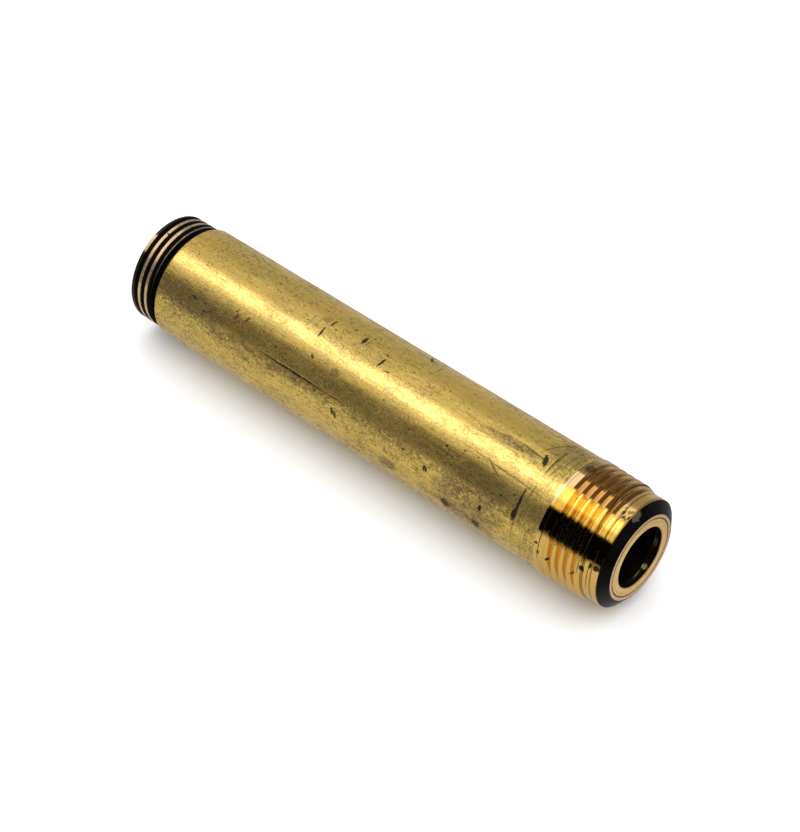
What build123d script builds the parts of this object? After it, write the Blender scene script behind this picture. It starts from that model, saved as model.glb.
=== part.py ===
from build123d import *
import os
from math import radians, tan

# Threaded brass pipe nipple: a plain barrel with a male thread on each end,
# and a thin inner tube fitted flush in it that carries the bore.
#
# Frame, millimetres: the axis of the nipple is X. The origin is the centre of
# the bore's mouth on the near end face, +X points out of that end, the far
# end is towards -X, and +Z is up as the nipple lies on its side.

os.makedirs("parts", exist_ok=True)

# ---------------------------------------------------------------- dimensions
total_length = 63.9          # nominally 2 1/2 in, face to face
barrel_d = 12.56             # plain middle of the barrel

bore_d = 6.75                # through bore, in the liner
liner_d = 8.66               # outside of the liner, seated in the barrel
seam_break = 0.09            # edge break on both sides of the seam, each end
mouth_break = 0.05           # edge break at the bore's mouth

thread_pitch = 25.4 / 27     # 27 threads per inch, both ends
thread_half_angle = 30.0     # flank angle of the 60 degree form

near_major_d = 12.70         # near thread, over the crests, half way along it
near_taper = 0.04            # its crests are this much larger in radius at the
                             # shoulder and smaller where the lead-in begins
near_thread_start = 8.10     # distance of the thread's shoulder from the face
near_full_thread = 3.05      # and of the first full crest
near_lead_length = 2.30      # plain lead-in, turned down almost to the roots
near_lead_d = 11.94
near_face_d = 9.68           # flat end face, inside the end chamfer
near_chamfer_length = 0.78   # the end chamfer, along the axis
near_depth = 0.45            # thread depth
near_crest = 0.30            # land on the crests

far_major_d = 12.05          # far thread, over the crests
far_spigot_length = 3.98     # from the far end face to the barrel's shoulder
far_undercut_width = 0.70    # runout groove against the shoulder
far_undercut_d = 10.90
far_depth = 0.42
far_crest = 0.44
far_face_d = 11.70           # flat end face, inside the small end chamfer
far_chamfer_length = 0.15
shoulder_break = 0.10        # edge break on the barrel's far shoulder
tool_overlap = 0.06          # the groove's section stands this far out of the crests

barrel_r = barrel_d / 2
liner_r = liner_d / 2
near_r = near_major_d / 2
far_r = far_major_d / 2
shoulder_x = -total_length + far_spigot_length
near_first_turn_x = -near_thread_start + 0.67  # middle of the near groove, at its start
far_first_turn_x = -total_length - 1.14  # middle of the far groove, at its start


def groove_section(depth, crest):
    """The section of the thread groove as (along the axis, along the radius)
    points about the groove's middle, counted from the crest radius."""
    top = (thread_pitch - crest) / 2
    root = top - depth * tan(radians(thread_half_angle))
    out = top + tool_overlap * tan(radians(thread_half_angle))
    return [(-out, tool_overlap), (-root, -depth), (root, -depth), (out, tool_overlap)]


# -------------------------------------------------------------- outer barrel
# Turned in one piece: near thread with its lead-in and end chamfer, plain
# barrel, far shoulder, runout groove and the smaller far thread.
with BuildPart() as outer_barrel:
    with BuildSketch(Plane.XY) as barrel_section:
        with BuildLine() as barrel_outline:
            Polyline(
                (0, liner_r + seam_break),
                (0, near_face_d / 2),
                (-near_chamfer_length, near_lead_d / 2),
                (-near_lead_length, near_lead_d / 2),
                (-near_full_thread, near_r - near_taper),
                (-near_thread_start, near_r + near_taper),
                (-near_thread_start - 0.06, barrel_r),
                (shoulder_x + shoulder_break, barrel_r),
                (shoulder_x, barrel_r - shoulder_break),
                (shoulder_x, far_undercut_d / 2),
                (shoulder_x - far_undercut_width, far_undercut_d / 2),
                (shoulder_x - far_undercut_width - 0.20, far_r),
                (-total_length + far_chamfer_length, far_r),
                (-total_length, far_face_d / 2),
                (-total_length, liner_r + seam_break),
                (-total_length + seam_break, liner_r),
                (-seam_break, liner_r),
                close=True,
            )
        make_face()
    revolve(axis=Axis.X)

    # the thread grooves, right-hand, one turn at a time: the near one from
    # inside its shoulder out over the lead-in and end chamfer, the far one from
    # beyond the far end into the runout groove
    for major_r, depth, crest, first_x, turns in (
        (near_r, near_depth, near_crest, near_first_turn_x, 9),
        (far_r, far_depth, far_crest, far_first_turn_x, 5),
    ):
        for turn in range(turns):
            with BuildLine() as helix:
                Helix(
                    pitch=thread_pitch,
                    height=thread_pitch,
                    radius=major_r,
                    center=(first_x + turn * thread_pitch, 0, 0),
                    direction=(1, 0, 0),
                )
            path = helix.wires()[0]
            start = path @ 0
            radial = Vector(0, start.Y, start.Z).normalized()
            with BuildSketch(
                Plane(origin=start, x_dir=(1, 0, 0), z_dir=Vector(1, 0, 0).cross(radial))
            ) as groove:
                with BuildLine():
                    Polyline(*groove_section(depth, crest), close=True)
                make_face()
            sweep(path=path, is_frenet=True, mode=Mode.SUBTRACT)

outer_barrel.part.label = "outer_barrel"
export_step(outer_barrel.part, "parts/outer_barrel.step")

# --------------------------------------------------------------- bore liner
# Thin tube, the full length of the barrel, flush with both end faces.
with BuildPart() as bore_liner:
    with BuildSketch(Plane.XY) as liner_section:
        with BuildLine() as liner_outline:
            Polyline(
                (0, bore_d / 2 + mouth_break),
                (0, liner_r - seam_break),
                (-seam_break, liner_r),
                (-total_length + seam_break, liner_r),
                (-total_length, liner_r - seam_break),
                (-total_length, bore_d / 2 + mouth_break),
                (-total_length + mouth_break, bore_d / 2),
                (-mouth_break, bore_d / 2),
                close=True,
            )
        make_face()
    revolve(axis=Axis.X)

bore_liner.part.label = "bore_liner"
export_step(bore_liner.part, "parts/bore_liner.step")

for made in (outer_barrel.part, bore_liner.part):
    box = made.bounding_box()
    print(made.label, round(made.volume, 2), box.min, box.max, made.is_valid)
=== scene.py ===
import math

import bpy
import numpy as np
from mathutils import Matrix, Vector


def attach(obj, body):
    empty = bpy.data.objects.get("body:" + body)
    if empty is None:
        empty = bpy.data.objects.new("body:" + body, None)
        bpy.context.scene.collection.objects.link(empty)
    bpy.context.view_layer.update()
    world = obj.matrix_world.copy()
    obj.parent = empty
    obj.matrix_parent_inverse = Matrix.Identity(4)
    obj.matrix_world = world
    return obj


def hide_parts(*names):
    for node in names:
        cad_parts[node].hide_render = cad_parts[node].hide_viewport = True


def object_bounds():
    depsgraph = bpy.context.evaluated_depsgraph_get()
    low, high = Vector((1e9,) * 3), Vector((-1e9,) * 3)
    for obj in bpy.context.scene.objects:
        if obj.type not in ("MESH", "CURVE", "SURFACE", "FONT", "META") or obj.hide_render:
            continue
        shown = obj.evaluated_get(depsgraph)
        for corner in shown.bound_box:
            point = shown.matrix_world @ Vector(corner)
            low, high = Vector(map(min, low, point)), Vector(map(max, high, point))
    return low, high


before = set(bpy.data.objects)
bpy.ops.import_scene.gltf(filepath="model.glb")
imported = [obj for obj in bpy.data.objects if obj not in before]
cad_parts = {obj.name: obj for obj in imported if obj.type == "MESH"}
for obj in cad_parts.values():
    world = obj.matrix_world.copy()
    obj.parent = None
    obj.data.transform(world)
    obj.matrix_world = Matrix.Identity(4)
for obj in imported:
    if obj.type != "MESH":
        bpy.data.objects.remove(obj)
cad_lo, cad_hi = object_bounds()

MM = 0.001

# ------------------------------------------------------------------ dimensions
# The same as the CAD's, in millimetres. The axis is X, the near face is at
# x = 0, the far one at x = -63.9. psi is the angle round the axis from +Z
# towards -Y, which is the way a right-hand thread turns as it goes along +X.
LENGTH = 63.9
BARREL_R = 6.28
BORE_R = 3.375
LINER_R = 4.33
SEAM = 0.09
PITCH = 25.4 / 27
NEAR_START = -8.10
NEAR_MID_R = 6.35
NEAR_TAPER = 0.04
NEAR_FACE_R = 4.84
NEAR_CHAMFER = 0.78
LEAD_R = 5.97
LEAD_X = -2.30
FULL_X = -3.05
NEAR_X0 = -8.10 + 0.67
NEAR_DEPTH = 0.45
NEAR_CREST = 0.30
SHOULDER_X = -59.92
UNDERCUT_R = 5.45
FAR_R = 6.025
FAR_X0 = -LENGTH - 0.20
FAR_DEPTH = 0.42
FAR_CREST = 0.44
FAR_FACE_R = 5.85
FAR_CHAMFER = 0.15
TAN60 = math.tan(math.radians(60))


def smooth(a, b, x):
    t = np.clip((x - a) / (b - a), 0.0, 1.0)
    return t * t * (3 - 2 * t)


def soft_min(a, b, k):
    h = np.clip(0.5 + 0.5 * (b - a) / k, 0.0, 1.0)
    return b + (a - b) * h - k * h * (1 - h)


def soft_max(a, b, k):
    return -soft_min(-a, -b, k)


def wave(x, psi, seed, count=7, long_mm=6.0, around=(1, 6)):
    """A smooth, seeded unevenness over the cylinder, about -1 to 1."""
    rng = np.random.default_rng(seed)
    total = np.zeros(np.broadcast(x, psi).shape)
    for _ in range(count):
        k = 2 * math.pi / (long_mm * rng.uniform(0.6, 2.5))
        n = int(rng.integers(around[0], around[1] + 1))
        total = total + np.sin(k * x + n * psi + rng.uniform(0, 2 * math.pi)) * rng.uniform(0.4, 1)
    return total / (0.7 * math.sqrt(count))


def thread(x, psi, x0, depth, crest, first, edge=0.045):
    """How far the thread's groove goes in at (x, psi), and the turn it is on.
    first is the turn where the groove starts, and the turns it takes to reach
    its whole depth."""
    s = (x - x0) / PITCH - psi / (2 * math.pi)
    k = np.round(s)
    u = np.abs(s - k) * PITCH
    turn = k + psi / (2 * math.pi)
    top = (PITCH - crest) / 2
    full = depth * smooth(first[0], first[0] + first[1], turn)
    groove = (top - u) * TAN60
    groove = soft_min(groove, full, edge)
    groove = soft_max(groove, np.zeros_like(groove), edge)
    return groove, turn


def near_cut_r(x, psi, edge=0.05):
    """The radius that the near thread's V leaves, larger than any crest outside it."""
    s = (x - NEAR_X0) / PITCH - psi / (2 * math.pi)
    k = np.round(s)
    u = np.abs(s - k) * PITCH
    turn = k + psi / (2 * math.pi)
    full = -0.12 + (NEAR_DEPTH + 0.12) * smooth(0.02, 0.5, turn)
    return NEAR_MID_R - soft_min(((PITCH - NEAR_CREST) / 2 - u) * TAN60, full, edge)


def nick(x, psi, at_x, at_deg, long_mm, round_mm, depth, tilt=0.0, r=BARREL_R):
    """A shallow dent or cut, as a smooth bump of this depth. tilt turns it."""
    d = np.angle(np.exp(1j * (psi - math.radians(at_deg + 37.5)))) * r
    a, b = x - at_x, d
    c, t = math.cos(math.radians(tilt)), math.sin(math.radians(tilt))
    a, b = a * c + b * t, -a * t + b * c
    q = (a / long_mm) ** 2 + (b / round_mm) ** 2
    return depth * np.exp(-q * 1.6)


# ------------------------------------------------------------------ the meshes
def closed_skin(name, rows, columns, radius):
    """A closed ring-shaped skin. rows are (x, r, tag) round the section, and
    radius(x, r, tag, psi) gives the real radius there. It carries a map that
    unrolls it, u round the axis and v along the section."""
    xs = np.array([a[0] for a in rows], float)
    rs = np.array([a[1] for a in rows], float)
    tags = np.array([a[2] for a in rows])
    psi = np.linspace(0, 2 * math.pi, columns, endpoint=False)
    X = np.repeat(xs[:, None], columns, 1)
    R = np.repeat(rs[:, None], columns, 1)
    P = np.repeat(psi[None, :], len(rows), 0)
    X, R = radius(X, R, np.repeat(tags[:, None], columns, 1), P)
    co = np.stack([X, -R * np.sin(P), R * np.cos(P)], -1).reshape(-1, 3) * MM
    n = len(rows)
    i, j = np.meshgrid(np.arange(n), np.arange(columns), indexing="ij")
    i2, j2 = (i + 1) % n, (j + 1) % columns
    quads = np.stack([i * columns + j, i * columns + j2, i2 * columns + j2, i2 * columns + j], -1)
    quads = quads.reshape(-1, 4)
    step = np.hypot(np.diff(np.r_[xs, xs[0]]), np.diff(np.r_[rs, rs[0]]))
    v = np.r_[0, np.cumsum(step)] / step.sum()
    u0, u1 = j / columns, (j + 1) / columns
    uv = np.stack(
        [
            np.stack([u0, v[i]], -1),
            np.stack([u1, v[i]], -1),
            np.stack([u1, v[i + 1]], -1),
            np.stack([u0, v[i + 1]], -1),
        ],
        2,
    ).reshape(-1, 2)
    # outward normals: the section runs so that the outside is on its left
    c0, c1, c3 = co[quads[:, 0]], co[quads[:, 1]], co[quads[:, 3]]
    normal = np.cross(c1 - c0, c3 - c0)
    centre = co[quads].mean(1)
    volume = (centre * normal).sum() / 3
    if volume < 0:
        quads = quads[:, ::-1]
        uv = uv.reshape(-1, 4, 2)[:, ::-1].reshape(-1, 2)
    mesh = bpy.data.meshes.new(name)
    mesh.vertices.add(len(co))
    mesh.vertices.foreach_set("co", co.astype(np.float32).ravel())
    mesh.loops.add(quads.size)
    mesh.loops.foreach_set("vertex_index", quads.astype(np.int32).ravel())
    mesh.polygons.add(len(quads))
    mesh.polygons.foreach_set("loop_start", np.arange(0, quads.size, 4, dtype=np.int32))
    mesh.polygons.foreach_set("loop_total", np.full(len(quads), 4, np.int32))
    mesh.update(calc_edges=True)
    mesh.validate()
    mesh.polygons.foreach_set("use_smooth", np.ones(len(quads), bool))
    layer = mesh.uv_layers.new(name="OFBake")
    layer.data.foreach_set("uv", uv.astype(np.float32).ravel())
    obj = bpy.data.objects.new(name, mesh)
    bpy.context.scene.collection.objects.link(obj)
    return obj, (i.ravel(), tags)


def run(a, b, step, tag, first=True):
    """Points from a to b along a straight piece of the section."""
    (x0, r0), (x1, r1) = a, b
    n = max(1, int(math.ceil(math.hypot(x1 - x0, r1 - r0) / step)))
    pts = [(x0 + (x1 - x0) * k / n, r0 + (r1 - r0) * k / n, tag) for k in range(n + 1)]
    return pts if first else pts[1:]


FACE, CHAMFER, NEAR, BODY, SHOULDER, UNDERCUT, FAR, FARFACE, SEAT = range(9)


def rounded(a, corner, b, radius, tag, n=4):
    """A small round at the corner between two straight pieces."""
    a, corner, b = (np.array(p, float) for p in (a, corner, b))
    d0, d1 = (a - corner), (b - corner)
    d0, d1 = d0 / np.linalg.norm(d0), d1 / np.linalg.norm(d1)
    pts = []
    for k in range(n + 1):
        t = k / n
        p = (1 - t) ** 2 * (corner + d0 * radius) + 2 * t * (1 - t) * corner + t**2 * (corner + d1 * radius)
        pts.append((float(p[0]), float(p[1]), tag))
    return pts


def path(points, steps, tags, radii):
    """A closed section from its corners, each with its own small round."""
    out = []
    n = len(points)
    for k in range(n):
        a, c, b = points[k - 1], points[k], points[(k + 1) % n]
        corner = rounded(a, c, b, radii[k], tags[k]) if radii[k] else [(c[0], c[1], tags[k])]
        if k == 0:
            firsts = corner[0]
        out += corner
        end = np.array(corner[-1][:2])
        nxt = points[(k + 1) % n]
        d = np.array(nxt, float) - end
        size = np.linalg.norm(d)
        reach = radii[(k + 1) % n]
        target = end + d * (1 - reach / size)
        seg = run(tuple(end), tuple(target), steps[k], tags[k], first=False)
        out += seg[:-1] if reach else seg[:-1]
    return out


barrel_corners = [
    # point, length of the steps after it, tag of the stretch after it, round
    ((-SEAM, LINER_R), 0.05, FACE, 0.0),
    ((0, LINER_R + SEAM), 0.06, FACE, 0.05),
    ((0, NEAR_FACE_R), 0.05, CHAMFER, 0.11),
    ((-NEAR_CHAMFER, LEAD_R), 0.04, NEAR, 0.06),
    ((LEAD_X, LEAD_R), 0.035, NEAR, 0.10),
    ((FULL_X, NEAR_MID_R - NEAR_TAPER), 0.03, NEAR, 0.08),
    ((NEAR_START, NEAR_MID_R + NEAR_TAPER), 0.03, NEAR, 0.025),
    ((NEAR_START - 0.07, BARREL_R), 0.08, BODY, 0.02),
    ((-12.2, BARREL_R), 0.32, BODY, 0.0),
    ((SHOULDER_X + 0.10, BARREL_R), 0.05, SHOULDER, 0.04),
    ((SHOULDER_X, BARREL_R - 0.10), 0.10, SHOULDER, 0.03),
    ((SHOULDER_X, UNDERCUT_R), 0.10, UNDERCUT, 0.06),
    ((SHOULDER_X - 0.70, UNDERCUT_R), 0.05, UNDERCUT, 0.05),
    ((SHOULDER_X - 0.90, FAR_R), 0.035, FAR, 0.02),
    ((-LENGTH + FAR_CHAMFER, FAR_R), 0.04, FAR, 0.03),
    ((-LENGTH, FAR_FACE_R), 0.08, FARFACE, 0.03),
    ((-LENGTH, LINER_R + SEAM), 0.05, FARFACE, 0.03),
    ((-LENGTH + SEAM, LINER_R), 6.0, SEAT, 0.0),
]
rows = path(*[list(c) for c in zip(*barrel_corners)])


def barrel_radius(x, r, tag, psi):
    near = tag == NEAR
    # the near thread, worn on its crests, and only scratched into its lead-in
    cut = near_cut_r(x, psi)
    wear = 0.009 * (1 + wave(x, psi, 3, long_mm=2.5, around=(2, 9)))
    worn = np.where(near & (x > NEAR_START + 0.02), r - wear * (cut > r), np.minimum(r, 6.383))
    r = np.where((near & (x > NEAR_START + 0.02)) | (tag == CHAMFER), soft_min(worn, cut, 0.05), r)
    # nicks over the crests of the near thread
    for at in ((-1.75, -28, 0.16, 0.30, 0.07, 20), (-1.40, -24, 0.15, 0.22, 0.06, -30), (-1.1, -33, 0.13, 0.25, 0.05, 30),
               (-0.95, -25, 0.10, 0.25, 0.05, 0), (-1.25, 32, 0.25, 0.25, 0.08, 10), (-2.5, 40, 0.16, 0.25, 0.08, 0), (-3.3, 120, 0.3, 0.7, 0.1, 12), (-5.6, 200, 0.25, 0.8, 0.09, -8),
               (-1.6, 250, 0.3, 0.9, 0.12, 0), (-6.9, 78, 0.2, 0.5, 0.06, 0)):
        r = np.where(near, r - nick(x, psi, *at), r)
    # the plain barrel: drawn tube is never quite true, and this one is old
    body = (tag == BODY) & (x < NEAR_START - 0.05)
    fade = smooth(NEAR_START - 0.1, NEAR_START - 1.5, x) * smooth(SHOULDER_X + 0.2, SHOULDER_X + 2.0, x)
    r = np.where(body, r + fade * (0.010 * wave(x, psi, 11, long_mm=14, around=(1, 4)) + 0.004 * wave(x, psi, 12, count=12, long_mm=3.5, around=(3, 14))), r)
    # rings left by the lathe beside the near thread
    rings = smooth(-11.6, -10.9, x) * smooth(NEAR_START - 0.05, NEAR_START - 0.25, x)
    r = np.where(body, r - rings * 0.014 * (0.5 + 0.5 * np.cos(2 * math.pi * (x - NEAR_X0) / 0.52 - psi * 0.0)) * (0.6 + 0.4 * wave(x * 0, psi, 5, around=(1, 3))), r)
    cuts = [
        # x, angle, half length, half width, depth, tilt
        (-11.13, 19, 0.16, 1.25, 0.10, 2),
        (-11.20, 27, 0.20, 0.55, 0.05, 0),
        (-11.35, -30, 0.26, 0.40, 0.05, 0),
        (-10.45, -32, 0.07, 1.9, 0.03, 0),
        (-10.40, 20, 0.06, 1.5, 0.02, 2),
        (-39.6, 24.0, 4.3, 0.10, 0.045, 0.2),
        (-39.75, -37.5, 0.12, 0.45, 0.05, 0),
        (-40.0, -23, 0.11, 0.45, 0.05, -15),
        (-35.7, -39.3, 0.18, 0.45, 0.06, 0),
        (-35.2, -40, 0.10, 0.40, 0.04, 0),
        (-32.35, -28, 0.12, 0.50, 0.06, 25),
        (-41.9, -28.5, 0.08, 0.75, 0.03, 5),
        (-22.35, 35.5, 0.10, 0.28, 0.05, -15),
        (-22.08, 36.2, 0.10, 0.28, 0.05, -15),
        (-34.6, 37.5, 0.14, 0.25, 0.04, -30),
        (-34.2, 39.5, 0.14, 0.25, 0.04, -30),
        (-29.4, -69, 0.30, 0.25, 0.05, -20),
        (-15.05, 41, 0.18, 0.22, 0.05, 0),
        (-17.0, 118, 1.5, 0.14, 0.05, 8),
        (-46.0, 150, 2.4, 0.13, 0.05, -6),
        (-27.0, 205, 0.25, 0.8, 0.06, 20),
        (-52.0, 240, 1.2, 0.15, 0.05, 25),
        (-14.0, 262, 0.3, 0.5, 0.05, 30),
    ]
    for c in cuts:
        r = np.where(body, r - nick(x, psi, *c), r)
    # shallow dents
    for c in ((-20.5, 52, 1.6, 1.2, 0.030), (-47.0, -20, 2.4, 1.6, 0.022), (-30.0, 140, 2.0, 1.8, 0.035),
              (-55.0, 200, 1.8, 1.5, 0.03), (-26.8, 55, 0.9, 0.7, 0.03), (-12.9, -48, 0.5, 0.6, 0.03)):
        r = np.where(body, r - nick(x, psi, *c), r)
    # the far thread and its end chamfer
    far = tag == FAR
    groove, turn = thread(x, psi, FAR_X0, FAR_DEPTH, FAR_CREST - 0.10, (-3.0, 0.5), edge=0.07)
    r = np.where(far, np.minimum(r, FAR_R - groove), r)
    end = tag == FARFACE
    r = np.where(end, np.minimum(r, FAR_R - groove - 0.012 + (r - FAR_FACE_R) * 0.02), r)
    far_worn = 0.006 * (1 + wave(x, psi, 21, long_mm=2.0, around=(2, 9)))
    r = np.where(far, r - far_worn, r)
    for c in ((-62.55, -28, 0.22, 0.12, 0.09, 0), (-61.6, 15, 0.2, 0.3, 0.04, 0), (-62.5, 130, 0.3, 0.4, 0.1, 0)):
        r = np.where(far, r - nick(x, psi, *c), r)
    return x, np.minimum(r, 6.383)


barrel, (row_of_face, barrel_tags) = closed_skin("outer_barrel_brass", rows, 384, barrel_radius)

liner_corners = [
    ((0, BORE_R + 0.05), 0.06, 0, 0.045),
    ((0, LINER_R - SEAM), 0.05, 0, 0.06),
    ((-SEAM, LINER_R), 6.0, 0, 0.0),
    ((-LENGTH + SEAM, LINER_R), 0.05, 0, 0.0),
    ((-LENGTH, LINER_R - SEAM), 0.08, 0, 0.03),
    ((-LENGTH, BORE_R + 0.05), 0.05, 0, 0.03),
    ((-LENGTH + 0.05, BORE_R), 0.6, 1, 0.0),
    ((-1.6, BORE_R), 0.04, 1, 0.0),
    ((-0.05, BORE_R), 0.05, 0, 0.0),
]


def liner_radius(x, r, tag, psi):
    bore = tag == 1
    # the faint ridge that the facing tool left just inside the mouth
    ridge = 0.05 * np.exp(-(((x + 0.52) / 0.05) ** 2)) - 0.06 * np.exp(-(((x + 0.66) / 0.07) ** 2))
    r = np.where(bore, r - ridge - 0.004 * wave(x, psi, 31, long_mm=9, around=(1, 3)), r)
    return x, r


liner, _ = closed_skin("bore_liner_brass", path(*[list(c) for c in zip(*liner_corners)]), 256, liner_radius)


# --------------------------------------------------------------- shader helpers
class Nodes:
    """A material's nodes, with arithmetic on sockets."""

    def __init__(self, name):
        self.mat = bpy.data.materials.new(name)
        self.mat.use_nodes = True
        self.nt = self.mat.node_tree
        self.nt.nodes.clear()
        self.out = self.nt.nodes.new("ShaderNodeOutputMaterial")
        self.bsdf = self.nt.nodes.new("ShaderNodeBsdfPrincipled")
        self.nt.links.new(self.bsdf.outputs[0], self.out.inputs[0])
        coord = self.nt.nodes.new("ShaderNodeTexCoord")
        self.p = self.vmath("SCALE", coord.outputs["Object"], 1000.0)
        sep = self.nt.nodes.new("ShaderNodeSeparateXYZ")
        self.nt.links.new(self.p, sep.inputs[0])
        self.x, self.y, self.z = sep.outputs
        self.r = self.m("SQRT", self.m("ADD", self.m("MULTIPLY", self.y, self.y), self.m("MULTIPLY", self.z, self.z)))
        # phi in degrees, 0 on the side of the barrel at 52.5 degrees up from -Y
        psi = self.m("ARCTAN2", self.m("MULTIPLY", self.y, -1.0), self.z)
        deg = self.m("SUBTRACT", self.m("MULTIPLY", psi, 180 / math.pi), 37.5)
        self.phi = self.m("WRAP", deg, 180.0, -180.0)

    def put(self, value, socket):
        if isinstance(value, bpy.types.NodeSocket):
            self.nt.links.new(value, socket)
        else:
            socket.default_value = value

    def m(self, op, a, b=None, c=None, clamp=False):
        n = self.nt.nodes.new("ShaderNodeMath")
        n.operation = op
        n.use_clamp = clamp
        for k, value in enumerate((a, b, c)):
            if value is not None:
                self.put(value, n.inputs[k])
        return n.outputs[0]

    def vmath(self, op, a, b=None):
        n = self.nt.nodes.new("ShaderNodeVectorMath")
        n.operation = op
        self.put(a, n.inputs[0])
        if op == "SCALE":
            self.put(b, n.inputs["Scale"])
        elif b is not None:
            self.put(b, n.inputs[1])
        return n.outputs["Value"] if op in ("LENGTH", "DOT_PRODUCT") else n.outputs[0]

    def add(self, a, b):
        return self.m("ADD", a, b)

    def sub(self, a, b):
        return self.m("SUBTRACT", a, b)

    def mul(self, a, b):
        return self.m("MULTIPLY", a, b)

    def most(self, *many):
        out = many[0]
        for k in many[1:]:
            out = self.m("MAXIMUM", out, k)
        return out

    def ramp(self, value, lo, hi, a=0.0, b=1.0, kind="SMOOTHSTEP"):
        n = self.nt.nodes.new("ShaderNodeMapRange")
        n.interpolation_type = kind
        n.clamp = True
        self.put(value, n.inputs["Value"])
        n.inputs["From Min"].default_value = lo
        n.inputs["From Max"].default_value = hi
        n.inputs["To Min"].default_value = a
        n.inputs["To Max"].default_value = b
        return n.outputs["Result"]

    def scaled(self, sx, sy, sz, shift=(0, 0, 0)):
        n = self.nt.nodes.new("ShaderNodeMapping")
        self.nt.links.new(self.p, n.inputs["Vector"])
        n.inputs["Scale"].default_value = (sx, sy, sz)
        n.inputs["Location"].default_value = shift
        return n.outputs[0]

    def noise(self, vector, scale=1.0, detail=4.0, rough=0.55, distortion=0.0):
        n = self.nt.nodes.new("ShaderNodeTexNoise")
        n.noise_dimensions = "3D"
        self.nt.links.new(vector, n.inputs["Vector"])
        n.inputs["Scale"].default_value = scale
        n.inputs["Detail"].default_value = detail
        n.inputs["Roughness"].default_value = rough
        n.inputs["Distortion"].default_value = distortion
        return n.outputs["Fac"] if "Fac" in n.outputs else n.outputs[0]

    def cells(self, vector, scale=1.0, feature="F1", randomness=1.0):
        n = self.nt.nodes.new("ShaderNodeTexVoronoi")
        n.feature = feature
        self.nt.links.new(vector, n.inputs["Vector"])
        n.inputs["Scale"].default_value = scale
        n.inputs["Randomness"].default_value = randomness
        return n.outputs["Distance"]

    def mix(self, fac, a, b, kind="MIX"):
        n = self.nt.nodes.new("ShaderNodeMix")
        n.data_type = "RGBA"
        n.blend_type = kind
        n.clamp_factor = True
        self.put(fac, n.inputs[0])
        for value, k in ((a, 6), (b, 7)):
            if isinstance(value, tuple):
                value = (*value, 1.0)
            self.put(value, n.inputs[k])
        return n.outputs[2]

    def blob(self, x, phi, half_x, half_deg, wobble=None, tilt=0.0, outer=1.25, inner=0.75):
        """1 inside a soft-edged patch of the barrel, 0 outside it."""
        dx = self.sub(self.x, x)
        dp = self.m("WRAP", self.sub(self.phi, phi), 180.0, -180.0)
        if tilt:
            dp = self.sub(dp, self.mul(dx, tilt))
        a = self.m("POWER", self.m("ABSOLUTE", self.mul(dx, 1 / half_x)), 2.0)
        b = self.m("POWER", self.m("ABSOLUTE", self.mul(dp, 1 / half_deg)), 2.0)
        d = self.m("SQRT", self.add(a, b))
        if wobble is not None:
            d = self.add(d, wobble)
        return self.ramp(d, outer, inner)

    def cut(self, x, phi, half_x, half_deg, slope=0.0, wobble=None):
        """1 along a thin line: half_x long (mm) by half_deg wide, or the other way."""
        return self.blob(x, phi, half_x, half_deg, wobble, slope, 1.30, 0.95)

    def bump(self, height, distance_mm, strength=1.0, normal=None):
        n = self.nt.nodes.new("ShaderNodeBump")
        n.inputs["Strength"].default_value = strength
        n.inputs["Distance"].default_value = distance_mm * MM
        self.put(height, n.inputs["Height"])
        if normal is not None:
            self.nt.links.new(normal, n.inputs["Normal"])
        return n.outputs[0]


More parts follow.
